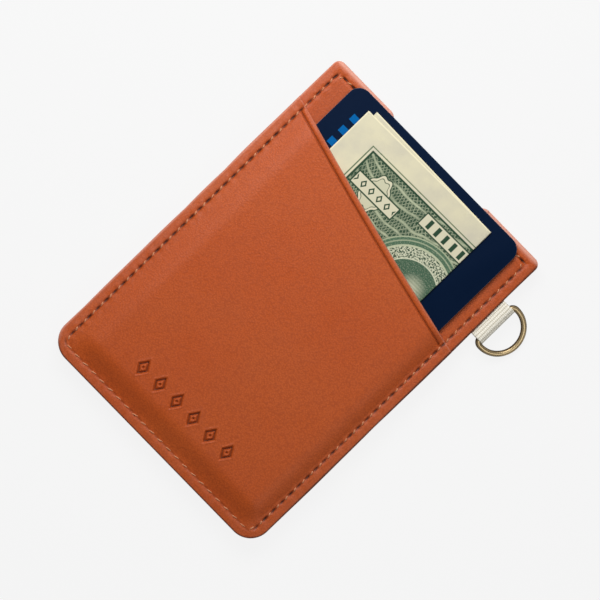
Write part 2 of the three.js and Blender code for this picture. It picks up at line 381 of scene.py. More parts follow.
def edge_paint_and_shade(x, depth):
    """How thick the dark paint is on the edge, fading onto the leather's face. It is left off the left
    side, which faces the light, so that the dark edge on the other sides is partly painted shade.
    """
    return (1 - smooth(depth, 0.1 * MM, 0.5 * MM)) * (1 - lit_left_edge(x))


def flange_wear_and_highlight(x, y, depth):
    """How pale the flange is outside its stitching, in blotches, most on the left side: partly wear and
    partly a painted highlight, with a painted highlight along the lit left edge itself.
    """
    blotches = 0.5 + noise.noise(Vector((x, y, 0.02)) * 900)
    most = 0.05 + 0.04 * smooth(-x, 0, HALF_WIDTH)
    lit_edge_highlight = 0.5 * lit_left_edge(x) * (1 - smooth(depth, 0.1 * MM, 0.55 * MM))
    return max(lit_edge_highlight, most * blotches * (1 - smooth(depth, 1.7 * MM, 2.8 * MM)))


STRAY = 1.7  # how far apart in the noise two neighbouring stitches are
SEAM_REACH = 1.1 * MM  # how far on each side of the stitching the leather is drawn in
HOLE_LENGTH = 0.87 * MM  # of a needle's slit, along the seam
HOLE_WIDTH = 0.25 * MM
HOLE_DEPTH = 0.45 * MM
CHANNEL_DEPTH = 0.1 * MM  # of the groove that the stitches lie in


class Seam:
    """The needle holes, and how the leather is drawn down round them."""

    def __init__(self, sizes):
        self.sizes = sizes
        self.holes = walk(seam_outline(sizes), sizes.stitch_pitch)
        self.tree = kdtree.KDTree(len(self.holes))
        for i, (point, _) in enumerate(self.holes):
            self.tree.insert(point, i)
        self.tree.balance()

    def near(self, x, y):
        return abs(depth_in_core(x, y, self.sizes) - self.sizes.seam_inset) < SEAM_REACH

    def relief(self, x, y):
        """(drop, darkening) of the leather's face at a point near the seam. The darkening is painted shade
        in the needle holes.
        """
        off_line = depth_in_core(x, y, self.sizes) - self.sizes.seam_inset
        if abs(off_line) > 2 * SEAM_REACH:
            return 0.0, 0.0
        point, i, _ = self.tree.find(Vector((x, y, 0)))
        direction = self.holes[i][1]
        away = Vector((x, y, 0)) - point
        along = away.dot(direction)
        across = (away - along * direction).length
        # The stitches along the bottom and the right side pull less and leave smaller holes, with less
        # painted shade in them.
        pull = 1 - 0.75 * abs(direction.x) * (y < 0) - 0.15 * abs(direction.y) * (x > 0)
        pull *= 1 + 0.5 * noise.noise(Vector((i * STRAY, 0, 0)))
        along += 0.25 * MM * noise.noise(Vector((0, i * STRAY, 0)))
        slit = pull * hump(along, HOLE_LENGTH) * hump(across, HOLE_WIDTH)
        channel = hump(off_line, 0.6 * MM)
        puckers = 0.05 * MM * hump(abs(off_line) - 1.0 * MM, 0.5 * MM) * (1 - hump(along, 0.9 * MM))
        puckers += 0.09 * MM * noise.noise(Vector((x, y, 0)) * 600) * hump(off_line, 1.6 * MM)
        return CHANNEL_DEPTH * channel + HOLE_DEPTH * slit - puckers, min(1.0, 1.4 * slit)


def swelling(x, y, rise, under=False):
    """The height that a pocket's contents push its leather to. The card lies nearer to the right side, so
    the leather rises faster there. Its underside rises faster at the bottom, where the contents stop."""
    right, left, bottom = [
        min(max((inside - start) / reach, 0), 1)
        for inside, start, reach in (
            (HALF_WIDTH - x, (3.45 if under else 3.1) * MM, 5.2 * MM),
            (HALF_WIDTH + x, (3.45 if under else 2.7) * MM, (5.2 if under else 7.0) * MM),
            (HALF_LENGTH + y, 3.1 * MM, (3.6 if under else 5.4) * MM),
        )
    ]
    fast = min(right * right * 1.1 / (right + 0.1), 1)
    height = rise * (1 - (1 - fast) ** 2.3)
    for share in (left**0.8, bottom**0.8):
        height *= share * share * (3 - 2 * share)
    return height


def from_mark(x, y, sizes):
    """The distance to the nearest stroke of the debossed row of dotted lozenges."""
    if abs(x) > 3 * sizes.mark_spacing:
        return HALF_WIDTH
    off = abs(x % sizes.mark_spacing - sizes.mark_spacing / 2)
    level = abs(y - sizes.mark_y)
    tall = sizes.mark_height / 2
    wide = 0.66 * tall
    slant = math.hypot(wide, tall) / (wide * tall)
    return min(abs(off / wide + level / tall - 0.9) / slant, math.hypot(off, level))


def pocket_layout(sizes, mouth):
    """The columns, rows and placing function of a pocket's leather, whose top rows follow its mouth."""
    inner_cells = round(2 * HALF_WIDTH / CELL)
    edge = (EDGE_BAND, EDGE_CELLS)
    columns = [edge, (2 * (HALF_WIDTH - EDGE_BAND), inner_cells), edge]
    tall = round((HALF_LENGTH + mouth(0)) / CELL)
    rows = [edge, (1.0, tall), (MOUTH_BAND, 27)]

    def place(across, along):
        x = spread(across, columns) - HALF_WIDTH
        stretch = HALF_LENGTH + mouth(x) - EDGE_BAND - MOUTH_BAND
        y = spread(along, [rows[0], (stretch, tall), rows[2]]) - HALF_LENGTH
        x, y = round_corner(x, y, sizes.bottom_corner, -1)
        return x + math.copysign(wander(x, y), x), y

    return columns, rows, place


def pocket_panel(sizes, seam, mouth, seam_z, up, rise, marked):
    """A pocket's leather: sewn flat round its edge, pushed out over the contents, with a turned mouth."""
    columns, rows, place = pocket_layout(sizes, mouth)
    lip_radius = 0.45 * MM
    bead_height = 0.16 * MM
    crease_place = 1.6 * MM  # below the mouth, with the bead half way to it
    crease_depth = 0.32 * MM
    mark_depth = 0.55 * MM
    turned_in = 7 * MM  # the depth of the hem behind the mouth

    def lip(x, y):
        """(height, darkening) that the turned and creased edge adds, apart from its rounding. The darkening
        is painted shade in the crease.
        """
        below = mouth(x) - y
        ends = smooth(HALF_WIDTH - abs(x), 1.8 * MM, 3.6 * MM)
        crease = hump(below - crease_place, 0.21 * MM) * ends
        bead = bead_height * hump(below - crease_place / 2, 0.5 * MM) * (0.3 + 0.7 * ends)
        return bead - crease_depth * crease, 0.5 * crease

    def outer(x, y):
        depth = depth_inside(x, y, sizes.bottom_corner)
        drop, pressed_shade = seam.relief(x, y)
        lip_height, lip_pressed_shade = lip(x, y)
        height = LEATHER + swelling(x, y, rise - bead_height - 0.02 * MM) + lip_height
        height -= drop + sag(depth) + max(roll(depth, 0.3 * MM), roll(mouth(x) - y, lip_radius))
        height += 0.035 * MM * noise.noise(Vector((x, y, 0)) * 130) * smooth(depth, 4 * MM, 9 * MM)
        if marked:
            away = from_mark(x, y, sizes)
            mark = hump(away, 0.25 * MM)
            height += 0.07 * MM * hump(away - 0.6 * MM, 0.25 * MM) - mark_depth * mark
            # The debossed strokes are darkened, partly as pressed leather and partly as painted shade in
            # their grooves.
            pressed_shade = max(pressed_shade, 0.8 * smooth(mark, 0.35, 1.1))
        # Painted highlight: the mouth's extreme edge is made paler, and the flange paler in blotches,
        # partly worn and partly painted highlight.
        rubbed = 0.3 * (1 - smooth(mouth(x) - y, 0.15 * MM, 0.5 * MM))
        bare = max(rubbed, flange_wear_and_highlight(x, y, depth))
        return seam_z + up * height, edge_paint_and_shade(x, depth), max(pressed_shade, lip_pressed_shade), bare

    def inner(x, y):
        depth = depth_inside(x, y, sizes.bottom_corner)
        below = mouth(x) - y
        height = swelling(x, y, rise, under=True)
        hem = 0.2 * MM * (1 - smooth(below, turned_in - 0.5 * MM, turned_in)) * min(1, height / (0.2 * MM))
        lift = 0.5 * roll(below, lip_radius) * smooth(depth, 0.3 * MM, 1.2 * MM)
        return seam_z + up * (height - hem + lift), edge_paint_and_shade(x, depth), 0.0, 0.0

    def along_seam(x, y, side):
        return side > 0.9 and seam.near(x, y) and y < mouth(x) - 0.1 * MM

    def on_marks(x, y, side):
        inside = abs(x) < 3 * sizes.mark_spacing and abs(y - sizes.mark_y) < 0.75 * sizes.mark_height
        return marked and side > 0.9 and inside

    return leather_sheet(columns, rows, place, outer, inner, [(along_seam, 3), (on_marks, 4)])


def core_panel(sizes, inner_z, outer_z, relief=None, showing=None):
    """A flat layer of the core with the thumb notch, from its inner to its outer height. relief draws its
    outer face in where it is stitched, as far as it shows."""
    up = math.copysign(1, outer_z - inner_z)
    thickness = abs(outer_z - inner_z)
    inner_cells = round(2 * HALF_WIDTH / CELL)
    edge = (EDGE_BAND, EDGE_CELLS)
    columns = [edge, (2 * (HALF_WIDTH - EDGE_BAND), inner_cells), edge]
    tall = round(1.6 * HALF_LENGTH / CELL)
    rows = [edge, (1.0, tall), (MOUTH_BAND, 8), edge]

    def place(across, along):
        x = spread(across, columns) - HALF_WIDTH
        stretch = HALF_LENGTH + notched_top(x, sizes) - 2 * EDGE_BAND - MOUTH_BAND
        y = spread(along, [rows[0], (stretch, tall), rows[2], rows[3]]) - HALF_LENGTH
        x, y = round_corner(x, y, sizes.bottom_corner, -1)
        x, y = round_corner(x, y, sizes.top_corner, 1)
        return x + math.copysign(wander(x, y), x), y

    def outer(x, y):
        depth = depth_in_core(x, y, sizes)
        drop, pressed_shade = relief(x, y) if relief and showing(x, y) else (0.0, 0.0)
        below_top = min(notched_top(x, sizes), HALF_LENGTH) - y
        open_end = 1 - smooth(below_top, 0.5 * MM, 1.3 * MM)
        # The edge is rounded more towards the open end, but never down to the inner face.
        rounding = (0.32 + 0.48 * smooth(y, 0.6 * HALF_LENGTH, 0.95 * HALF_LENGTH)) * MM
        drop = min(drop + roll(depth, rounding) + sag(depth), 0.65 * thickness)
        # Painted highlight: the rounded edge at the open end is made pale, and its dark edge paint left
        # off.
        bare = max(0.85 * open_end, flange_wear_and_highlight(x, y, depth))
        # Painted shade: the core's face more than about 4 mm inside its edge is made a little darker,
        # standing in for the shade of the pockets and the card on it.
        pressed_shade = max(pressed_shade, 0.1 * smooth(depth, 2.5 * MM, 4.5 * MM))
        return outer_z - up * drop, edge_paint_and_shade(x, depth) * (1 - open_end), pressed_shade, bare

    def inner(x, y):
        depth = depth_in_core(x, y, sizes)
        return inner_z + up * roll(depth, 0.3 * thickness), edge_paint_and_shade(x, depth), 0.0, 0.0

    def at_notch_or_seam(x, y, side):
        depth = depth_in_core(x, y, sizes)
        reach = sizes.notch_radius + 2 * MM
        by_notch = depth < 1.3 * MM and abs(x) < reach and y > sizes.notch_centre - reach
        along_seam = relief and side > 0.9 and abs(depth - sizes.seam_inset) < SEAM_REACH
        return by_notch or along_seam

    return leather_sheet(columns, rows, place, outer, inner, [(at_notch_or_seam, 3)])


def stitch(bm, start, end, length, thickness, sink, tilt):
    """One stitch between two needle holes: a thread that bulges in the middle and dips into both."""
    along = (end - start).normalized()
    along.rotate(Matrix.Rotation(tilt, 3, "Z"))
    up = Vector((0, 0, 1))
    sideways = up.cross(along)
    turn = Matrix((sideways, up, along)).transposed().to_4x4()
    stretch = Matrix.Diagonal((thickness, thickness, length, 1))
    made = bmesh.ops.create_uvsphere(
        bm, u_segments=8, v_segments=6, radius=0.5, matrix=turn @ stretch, calc_uvs=True
    )
    middle = (start + end) / 2
    for vert in made["verts"]:
        share = vert.co.dot(along) / (length / 2)
        vert.co += middle - up * sink * share**2


# ---- Materials ---------------------------------------------------------------------------------------


def add(tree, kind, links=(), **settings):
    """Adds a shader node with its settings. links gives its inputs in order, or by name in a dict: a value
    sets a socket, a node or an output is joined to it, and None leaves it alone."""
    node = tree.nodes.new("ShaderNode" + kind)
    for key, value in settings.items():
        setattr(node, key, value)
    sockets = [s for s in node.inputs if s.enabled]
    pairs = links.items() if isinstance(links, dict) else enumerate(links)
    for key, value in pairs:
        socket = node.inputs[key] if isinstance(key, str) else sockets[key]
        if isinstance(value, bpy.types.Node):
            value = next(o for o in value.outputs if o.enabled)
        if isinstance(value, bpy.types.NodeSocket):
            tree.links.new(value, socket)
        elif value is not None:
            socket.default_value = value
    return node


LEATHER_NAME = "Vegetable-tanned leather"


def blank_material(name):
    """A new material without nodes, and its node tree."""
    material = bpy.data.materials.new(name)
    material.use_nodes = True
    material.node_tree.nodes.clear()
    return material, material.node_tree


def rgba(colour):
    """A linear colour with full alpha, as a colour socket takes it."""
    return (*colour, 1.0)


def leather_material(colours):
    """Vegetable-tanned calf, aniline dyed and lightly waxed: a close, soft grain with faint pores, a low
    sheen, patches where the dye took more or less, painted edges and darker leather where it is pressed.
    That darkening is partly painted shade, and the pale edges are a painted highlight with some wear."""
    material, tree = blank_material(LEATHER_NAME)
    place = add(tree, "TexCoord").outputs["Object"]
    patches = add(
        tree, "TexNoise", {"Vector": place, "Scale": 1 / (26 * MM), "Detail": 3.0, "Roughness": 0.55}
    )
    cloud = add(tree, "MapRange", [patches, 0.3, 0.7, 0.0, 1.0])
    dark = rgba(colours.leather_dark)
    dyed = add(
        tree, "Mix", [cloud, rgba(colours.leather), rgba(colours.leather_light)], data_type="RGBA"
    )
    blotches = add(
        tree, "TexNoise", {"Vector": place, "Scale": 1 / (7 * MM), "Detail": 4.0, "Roughness": 0.6}
    )
    more_dye = add(tree, "MapRange", [blotches, 0.5, 0.8, 0.0, 0.25])
    dyed = add(tree, "Mix", [more_dye, dyed, dark], data_type="RGBA")
    # Grain cells are 0.42 mm across, and the pores on them 0.3 mm.
    cells = add(tree, "TexVoronoi", {"Vector": place, "Scale": 1 / (0.42 * MM), "Randomness": 1.0})
    pores = add(
        tree, "TexNoise", {"Vector": place, "Scale": 1 / (0.3 * MM), "Detail": 3.0, "Roughness": 0.65}
    )
    grain = add(tree, "Math", [cells, pores], operation="ADD")
    speckle = add(tree, "MapRange", [grain, 0.65, 1.3, 0.0, 0.55])
    dyed = add(tree, "Mix", [speckle, dyed, dark], data_type="RGBA")
    edge = add(tree, "Attribute", attribute_name="edge").outputs["Fac"]
    # The pressed colour is partly painted shade: in the needle holes, the crease and the debossing, and
    # across the core.
    pressed = add(tree, "Attribute", attribute_name="pressed").outputs["Fac"]
    dyed = add(tree, "Mix", [pressed, dyed, rgba(colours.pressed)], data_type="RGBA")
    # The pale colour is a painted highlight on the open end, the mouth's lip and the left edge, and partly
    # wear on the flange.
    bare = add(tree, "Attribute", attribute_name="bare").outputs["Fac"]
    dyed = add(tree, "Mix", [bare, dyed, rgba(colours.highlight_and_wear)], data_type="RGBA")
    painted = add(tree, "Mix", [edge, dyed, rgba(colours.edge_paint)], data_type="RGBA")
    rough = add(tree, "MapRange", [blotches, 0.3, 0.7, 0.42, 0.54])
    rough = add(tree, "Mix", [edge, rough, 0.38], data_type="FLOAT")
    bump = add(tree, "Bump", {"Strength": 0.5, "Distance": 0.06 * MM, "Height": grain})
    finish = {
        "Base Color": painted,
        "Roughness": rough,
        "Normal": bump,
        "IOR": 1.48,
        "Specular IOR Level": 0.34,
    }
    shader = add(tree, "BsdfPrincipled", finish)
    add(tree, "OutputMaterial", {"Surface": shader})
    return material


def board_material(colours):
    """Leather fibre board: pressed scrap and latex, seen only as its painted edge."""
    material, tree = blank_material("Leather fibre board")
    place = add(tree, "TexCoord").outputs["Object"]
    fibres = add(tree, "TexNoise", {"Vector": place, "Scale": 1 / (0.5 * MM), "Detail": 4.0})
    mixed = add(tree, "Mix", [fibres, rgba(linear("#8A6A4C")), rgba(linear("#5E412B"))], data_type="RGBA")
    edge = add(tree, "Attribute", attribute_name="edge").outputs["Fac"]
    painted = add(tree, "Mix", [edge, mixed, rgba(colours.edge_paint)], data_type="RGBA")
    bump = add(tree, "Bump", {"Strength": 0.3, "Distance": 0.05 * MM, "Height": fibres})
    shader = add(tree, "BsdfPrincipled", {"Base Color": painted, "Roughness": 0.7, "Normal": bump})
    add(tree, "OutputMaterial", {"Surface": shader})
    return material


def lining_material():
    """Woven cotton twill lining: fine diagonal ribs 0.5 mm apart in brown yarn."""
    material, tree = blank_material("Cotton twill lining")
    place = add(tree, "TexCoord").outputs["Object"]
    turned = add(tree, "Mapping", {"Vector": place, "Rotation": (0, 0, math.radians(35))})
    # A wave texture of scale 1 repeats every 2 pi / 20.
    spacing = 2 * math.pi / 20 / (0.5 * MM)
    ribs = add(tree, "TexWave", {"Vector": turned, "Scale": spacing, "Distortion": 0.6, "Detail": 2.0})
    yarn = add(tree, "Mix", [ribs, rgba(linear("#4B3123")), rgba(linear("#7A5741"))], data_type="RGBA")
    bump = add(tree, "Bump", {"Strength": 0.5, "Distance": 0.06 * MM, "Height": ribs})
    finish = {
        "Base Color": yarn,
        "Roughness": 0.88,
        "Normal": bump,
        "Sheen Weight": 0.3,
    }
    shader = add(tree, "BsdfPrincipled", finish)
    add(tree, "OutputMaterial", {"Surface": shader})
    return material


def thread_material(colours):
    """Waxed polyester thread of three plies: a satin gloss and a twist of about one turn in 1.2 mm."""
    material, tree = blank_material("Waxed polyester thread")
    uv = add(tree, "UVMap")
    turned = add(tree, "Mapping", {"Vector": uv, "Rotation": (0, 0, math.radians(38))})
    # About five ridges of plies cross a stitch, whose map runs from 0 to 1.
    plies = add(tree, "TexWave", {"Vector": turned, "Scale": 1.6, "Distortion": 0.3}, bands_direction="X")
    shade = add(tree, "Mix", [plies, rgba(linear("#C98258")), rgba(colours.thread)], data_type="RGBA")
    bump = add(tree, "Bump", {"Strength": 0.6, "Distance": 0.08 * MM, "Height": plies})
    finish = {
        "Base Color": shade,
        "Roughness": 0.45,
        "Normal": bump,
        "Sheen Weight": 0.15,
    }
    shader = add(tree, "BsdfPrincipled", finish)
    add(tree, "OutputMaterial", {"Surface": shader})
    return material


def grosgrain_material(colours):
    """Off-white polyester grosgrain: heavy ribs across it, tied down by warp yarns 0.45 mm apart."""
    material, tree = blank_material("Grosgrain ribbon")
    uv = add(tree, "UVMap")
    parts = add(tree, "SeparateXYZ", [uv])
    turns = add(tree, "Math", [parts.outputs["Y"], 2 * math.pi / (0.45 * MM)], operation="MULTIPLY")
    warp = add(tree, "Math", [turns], operation="SINE")
    raised = add(tree, "MapRange", [warp, -1.0, 1.0, 0.0, 1.0])
    # Painted shade: the grooves between the ribs are darkened.
    groove = add(tree, "Attribute", attribute_name="groove").outputs["Fac"]
    shade = add(tree, "Math", [raised, 0.22], operation="MULTIPLY")
    shade = add(tree, "Math", [groove, 0.8, shade], operation="MULTIPLY_ADD")
    yarn = add(tree, "Mix", [shade, rgba(colours.webbing), rgba(linear("#A79F86"))], data_type="RGBA")
    bump = add(tree, "Bump", {"Strength": 0.5, "Distance": 0.05 * MM, "Height": raised})
    finish = {
        "Base Color": yarn,
        "Roughness": 0.72,
        "Normal": bump,
        "Sheen Weight": 0.25,
    }
    shader = add(tree, "BsdfPrincipled", finish)
    add(tree, "OutputMaterial", {"Surface": shader})
    return material


def brass_material(colours):
    """Antique brass: plated wire, darkened and then rubbed bright on the ring's two faces, so that a brown
    patina stays round its inside and outside. That dark patina on the wire's sides is partly painted shade."""
    material, tree = blank_material("Antique brass")
    place = add(tree, "TexCoord").outputs["Object"]
    rubbed = add(tree, "Attribute", attribute_name="rubbed").outputs["Fac"]
    streaks = add(
        tree, "TexNoise", {"Vector": place, "Scale": 1 / (3 * MM), "Detail": 3.0, "Roughness": 0.5}
    )
    # Low values, on the wire's inside and outside, give the dark patina, partly as painted shade.
    wear = add(tree, "Math", [streaks, 0.3, rubbed], operation="MULTIPLY_ADD")
    bright = add(tree, "MapRange", [wear, 0.68, 1.14, 0.0, 1.0])
    metal = add(tree, "Mix", [bright, rgba(colours.patina), rgba(colours.brass)], data_type="RGBA")
    rough = add(tree, "MapRange", [bright, 0.0, 1.0, 0.5, 0.28])
    hammered = add(tree, "TexNoise", {"Vector": place, "Scale": 1 / (1.2 * MM), "Detail": 1.0})
    bump = add(tree, "Bump", {"Strength": 0.08, "Distance": 0.03 * MM, "Height": hammered})
    finish = {
        "Base Color": metal,
        "Metallic": bright,
        "Roughness": rough,
        "Normal": bump,
        "Specular IOR Level": 0.1,
    }
    shader = add(tree, "BsdfPrincipled", finish)
    add(tree, "OutputMaterial", {"Surface": shader})
    return material


def card_material(colours):
    """Laminated PVC card: a satin navy face with three printed bars, and a black magnetic stripe behind."""
    material, tree = blank_material("Laminated PVC card")
    place = add(tree, "TexCoord").outputs["Object"]
    parts = add(tree, "SeparateXYZ", [place])
    x, y = parts.outputs["X"], parts.outputs["Y"]
    bar_length, bar_width, bar_spacing = 8 * MM, 1.8 * MM, 3.6 * MM
    first_bar = CARD_HIGH.y - 6.8 * MM
    bars = None
    for i in range(3):
        middle = first_bar - i * bar_spacing
        tall = add(tree, "Math", [y, middle, bar_width / 2], operation="COMPARE")
        bars = tall if bars is None else add(tree, "Math", [bars, tall], operation="MAXIMUM")
    bar_x = CARD_LOW.x + 8.4 * MM
    wide = add(tree, "Math", [x, bar_x, bar_length / 2], operation="COMPARE")
    bars = add(tree, "Math", [bars, wide], operation="MULTIPLY")
    normal = add(tree, "NewGeometry").outputs["Normal"]
    up = add(tree, "SeparateXYZ", [normal]).outputs["Z"]
    in_front = add(tree, "Math", [up, 0.5], operation="GREATER_THAN")
    behind = add(tree, "Math", [up, -0.5], operation="LESS_THAN")
    bars = add(tree, "Math", [bars, in_front], operation="MULTIPLY")
    stripe_width = 12.7 * MM
    stripe_x = CARD_HIGH.x - 4 * MM - stripe_width / 2
    stripe = add(tree, "Math", [x, stripe_x, stripe_width / 2], operation="COMPARE")
    stripe = add(tree, "Math", [stripe, behind], operation="MULTIPLY")
    cloud = add(tree, "TexNoise", {"Vector": place, "Scale": 1 / (30 * MM), "Detail": 2.0})
    navy = add(tree, "Mix", [cloud, rgba(colours.card), rgba(linear("#071A34"))], data_type="RGBA")
    face = add(tree, "Mix", [bars, navy, rgba(colours.card_mark)], data_type="RGBA")
    face = add(tree, "Mix", [stripe, face, rgba(linear("#17120F"))], data_type="RGBA")
    # Painted highlight: the card's rounded rim and sides are made a lighter slate.
    steep = add(tree, "Math", [up], operation="ABSOLUTE")
    rim = add(tree, "MapRange", [steep, 0.5, 0.97, 1.0, 0.0])
    face = add(tree, "Mix", [rim, face, rgba(linear("#5C6A79"))], data_type="RGBA")
    fine = add(tree, "TexNoise", {"Vector": place, "Scale": 1 / (0.25 * MM), "Detail": 2.0})
    bump = add(tree, "Bump", {"Strength": 0.05, "Distance": 0.02 * MM, "Height": fine})
    finish = {
        "Base Color": face,
        "Roughness": 0.5,
        "Normal": bump,
        "IOR": 1.5,
        "Specular IOR Level": 0.03,
    }
    shader = add(tree, "BsdfPrincipled", finish)
    add(tree, "OutputMaterial", {"Surface": shader})
    return material


def gold_material():
    """Gold-plated contacts: bright between the laser-cut lines that part the pads."""
    material, tree = blank_material("Gold-plated contact")
    place = add(tree, "TexCoord").outputs["Object"]
    brushed = add(tree, "Mapping", {"Vector": place, "Scale": (1, 12, 1)})
    lines = add(tree, "TexNoise", {"Vector": brushed, "Scale": 1 / (1.5 * MM), "Detail": 2.0})
    gold = add(tree, "Mix", [lines, rgba(linear("#C9A961")), rgba(linear("#AD873F"))], data_type="RGBA")
    shader = add(tree, "BsdfPrincipled", {"Base Color": gold, "Metallic": 1.0, "Roughness": 0.42})
    add(tree, "OutputMaterial", {"Surface": shader})
    return material


# ---- The banknote's print: generic line work, with no lettering --------------------------------------

REPEAT = 2.5  # millimetres from one lozenge or bar to the next


def between(tree, value, low, high, soft=0.06):
    """1 where a value in millimetres lies between low and high, with an edge that is a little soft."""
    middle, half = (low + high) / 2, (high - low) / 2
    away = add(tree, "Math", [value, middle], operation="SUBTRACT")
    away = add(tree, "Math", [away], operation="ABSOLUTE")
    return add(tree, "MapRange", [away, half - soft, half + soft, 1.0, 0.0])


def ripples(tree, value, pitch):
    """A wave from 0 to 1 that repeats each pitch millimetres."""
    angle = add(tree, "Math", [value, 2 * math.pi / pitch], operation="MULTIPLY")
    wave = add(tree, "Math", [angle], operation="SINE")
    return add(tree, "MapRange", [wave, -1.0, 1.0, 0.0, 1.0])


def within(tree, x, y, box, grow=0.0):
    """1 inside a box on the sheet, given as left, right, low and high and grown on all sides."""
    left, right, low, high = box
    across = between(tree, x, left - grow, right + grow)
    along = between(tree, y, low - grow, high + grow)
    return add(tree, "Math", [across, along], operation="MULTIPLY")


def ground_ink(tree, sheet, ink):
    """Light lines that net the dark ink, in three families of ripples that are bent a little."""
    bend = add(tree, "TexNoise", {"Vector": sheet, "Scale": 0.25, "Detail": 0.0}).outputs["Color"]
    bend = add(tree, "VectorMath", [bend, (1.6, 1.6, 0.0)], operation="MULTIPLY")
    bent = add(tree, "VectorMath", [sheet, bend], operation="ADD")
    lines = None
    for centre, pitch, threshold, strength in (
        ((-16.0, 30.0, 0.0), 0.74, 0.7, 0.62),
        ((52.0, 34.0, 0.0), 0.74, 0.7, 0.62),
        ((20.0, -30.0, 0.0), 2.4, 0.75, 0.9),
    ):
        away = add(tree, "VectorMath", [bent, centre], operation="DISTANCE").outputs["Value"]
        wave = ripples(tree, away, pitch)
        family = add(tree, "MapRange", [wave, threshold, 0.98, 0.0, strength])
        lines = family if lines is None else add(tree, "Math", [lines, family], operation="MAXIMUM")
    veil = add(tree, "TexNoise", {"Vector": sheet, "Scale": 0.3, "Detail": 2.0})
    veil = add(tree, "MapRange", [veil, 0.35, 0.65, 0.55, 1.0])
    lines = add(tree, "Math", [lines, veil], operation="MULTIPLY")
    return add(tree, "Mix", [lines, ink, rgba(linear("#BAC1A0"))], data_type="RGBA")


def bare_paper(tree, sheet, x, y, colours):
    """Cream paper with soft stains, and a painted highlight along its top and left edges."""
    stain = add(tree, "TexNoise", {"Vector": sheet, "Scale": 0.14, "Detail": 4.0})
    stain = add(tree, "MapRange", [stain, 0.4, 0.65, 0.0, 1.0])
    paper = add(tree, "Mix", [stain, rgba(colours.paper), rgba(linear("#CBC5AF"))], data_type="RGBA")
    top = between(tree, y, -0.25, 0.25, 0.15)
    left = between(tree, x, -0.25, 0.25, 0.15)
    paper_edge_highlight = add(tree, "Math", [top, left], operation="MAXIMUM")
    paper_edge_highlight = add(tree, "Math", [paper_edge_highlight, 0.8], operation="MULTIPLY")
    return add(tree, "Mix", [paper_edge_highlight, paper, rgba(linear("#F4EBC8"))], data_type="RGBA")


def seal_inks(tree, sheet, y, ink):
    """A plain seal: rings round a beaded one, and a ruled heart that is lighter near its middle."""
    place = add(tree, "VectorMath", [sheet, (35.4, 24.0, 0.0)], operation="DISTANCE")
    leaves = add(tree, "TexNoise", {"Vector": sheet, "Scale": 2.6, "Detail": 2.0, "Distortion": 0.4})
    leaves = add(tree, "MapRange", [leaves, 0.47, 0.56, 0.0, 1.0])
    beaded = add(tree, "Mix", [leaves, rgba(linear("#C9CBB0")), ink], data_type="RGBA")
    bright = add(tree, "VectorMath", [sheet, (36.0, 22.4, 0.0)], operation="DISTANCE")
    glow = add(tree, "MapRange", [bright.outputs["Value"], 0.3, 3.8, 0.0, 1.0])
    heart = add(tree, "Mix", [glow, rgba(linear("#C9CBAF")), rgba(linear("#48654F"))], data_type="RGBA")
    ruled = add(tree, "Math", [ripples(tree, y, 0.7), 0.3], operation="MULTIPLY")
    heart = add(tree, "Mix", [ruled, heart, ink], data_type="RGBA")
    rings = (
        (13.0, rgba(linear("#A3AE8E"))),
        (12.7, rgba(linear("#4C6A52"))),
        (12.1, rgba(linear("#97A385"))),
        (11.8, rgba(linear("#4C6A52"))),
        (11.0, rgba(linear("#B7BD9E"))),
        (10.5, beaded),
        (7.9, rgba(linear("#C9CCB1"))),
        (7.6, heart),
    )
    return [(between(tree, place.outputs["Value"], -outer, outer), colour) for outer, colour in rings]


def oval_inks(tree, sheet, x, y, ink, cream):
    """A scalloped oval with a ribbon of lozenges across it."""
    middle_x, middle_y = 14.6, 12.8
    offset = add(tree, "VectorMath", [sheet, (middle_x, middle_y, 0.0)], operation="SUBTRACT")
    squeezed = add(tree, "VectorMath", [offset, (1.6, 1.0, 0.0)], operation="MULTIPLY")
    distance = add(tree, "VectorMath", [squeezed], operation="LENGTH").outputs["Value"]
    sides = add(tree, "SeparateXYZ", [squeezed])
    angle = add(tree, "Math", [sides.outputs["Y"], sides.outputs["X"]], operation="ARCTAN2")
    petals = add(tree, "Math", [angle, 8.0], operation="MULTIPLY")
    petals = add(tree, "Math", [petals], operation="COSINE")
    scalloped = add(tree, "Math", [petals, 0.3, distance], operation="MULTIPLY_ADD")
    rings = ((5.1, ink), (4.8, cream), (4.1, ink), (3.9, rgba(linear("#C9C7AA"))))
    inks = [(between(tree, scalloped, -outer, outer), colour) for outer, colour in rings]
    for grow, colour in ((0.35, ink), (0.0, cream)):
        inks.append((within(tree, x, y, (8.6, 21.2, 11.3, 14.3), grow), colour))
    repeat = add(tree, "Math", [x, REPEAT], operation="MODULO")
    aside = add(tree, "Math", [repeat, REPEAT / 2], operation="SUBTRACT")
    aside = add(tree, "Math", [aside], operation="ABSOLUTE")
    above = add(tree, "Math", [y, middle_y], operation="SUBTRACT")
    above = add(tree, "Math", [above], operation="ABSOLUTE")
    lozenge = add(tree, "Math", [aside, 1.4, above], operation="MULTIPLY_ADD")
    outline = between(tree, lozenge, 0.55, 1.1)
    lozenges = add(tree, "Math", [outline, between(tree, x, 8.8, 21.0)], operation="MULTIPLY")
    return [*inks, (lozenges, ink)]


def label_inks(tree, x, y, ink, cream):
    """A blank label with a row of bars."""
    inks = []
    for grow, colour in ((0.3, ink), (0.0, cream)):
        inks.append((within(tree, x, y, (26.6, 52.0, 7.2, 10.3), grow), colour))
    repeat = add(tree, "Math", [x, REPEAT], operation="MODULO")
    bars = within(tree, repeat, y, (0.7, 1.7, 7.6, 9.9))
    bars = add(tree, "Math", [bars, between(tree, x, 27.5, 51.2)], operation="MULTIPLY")
    return [*inks, (bars, ink)]


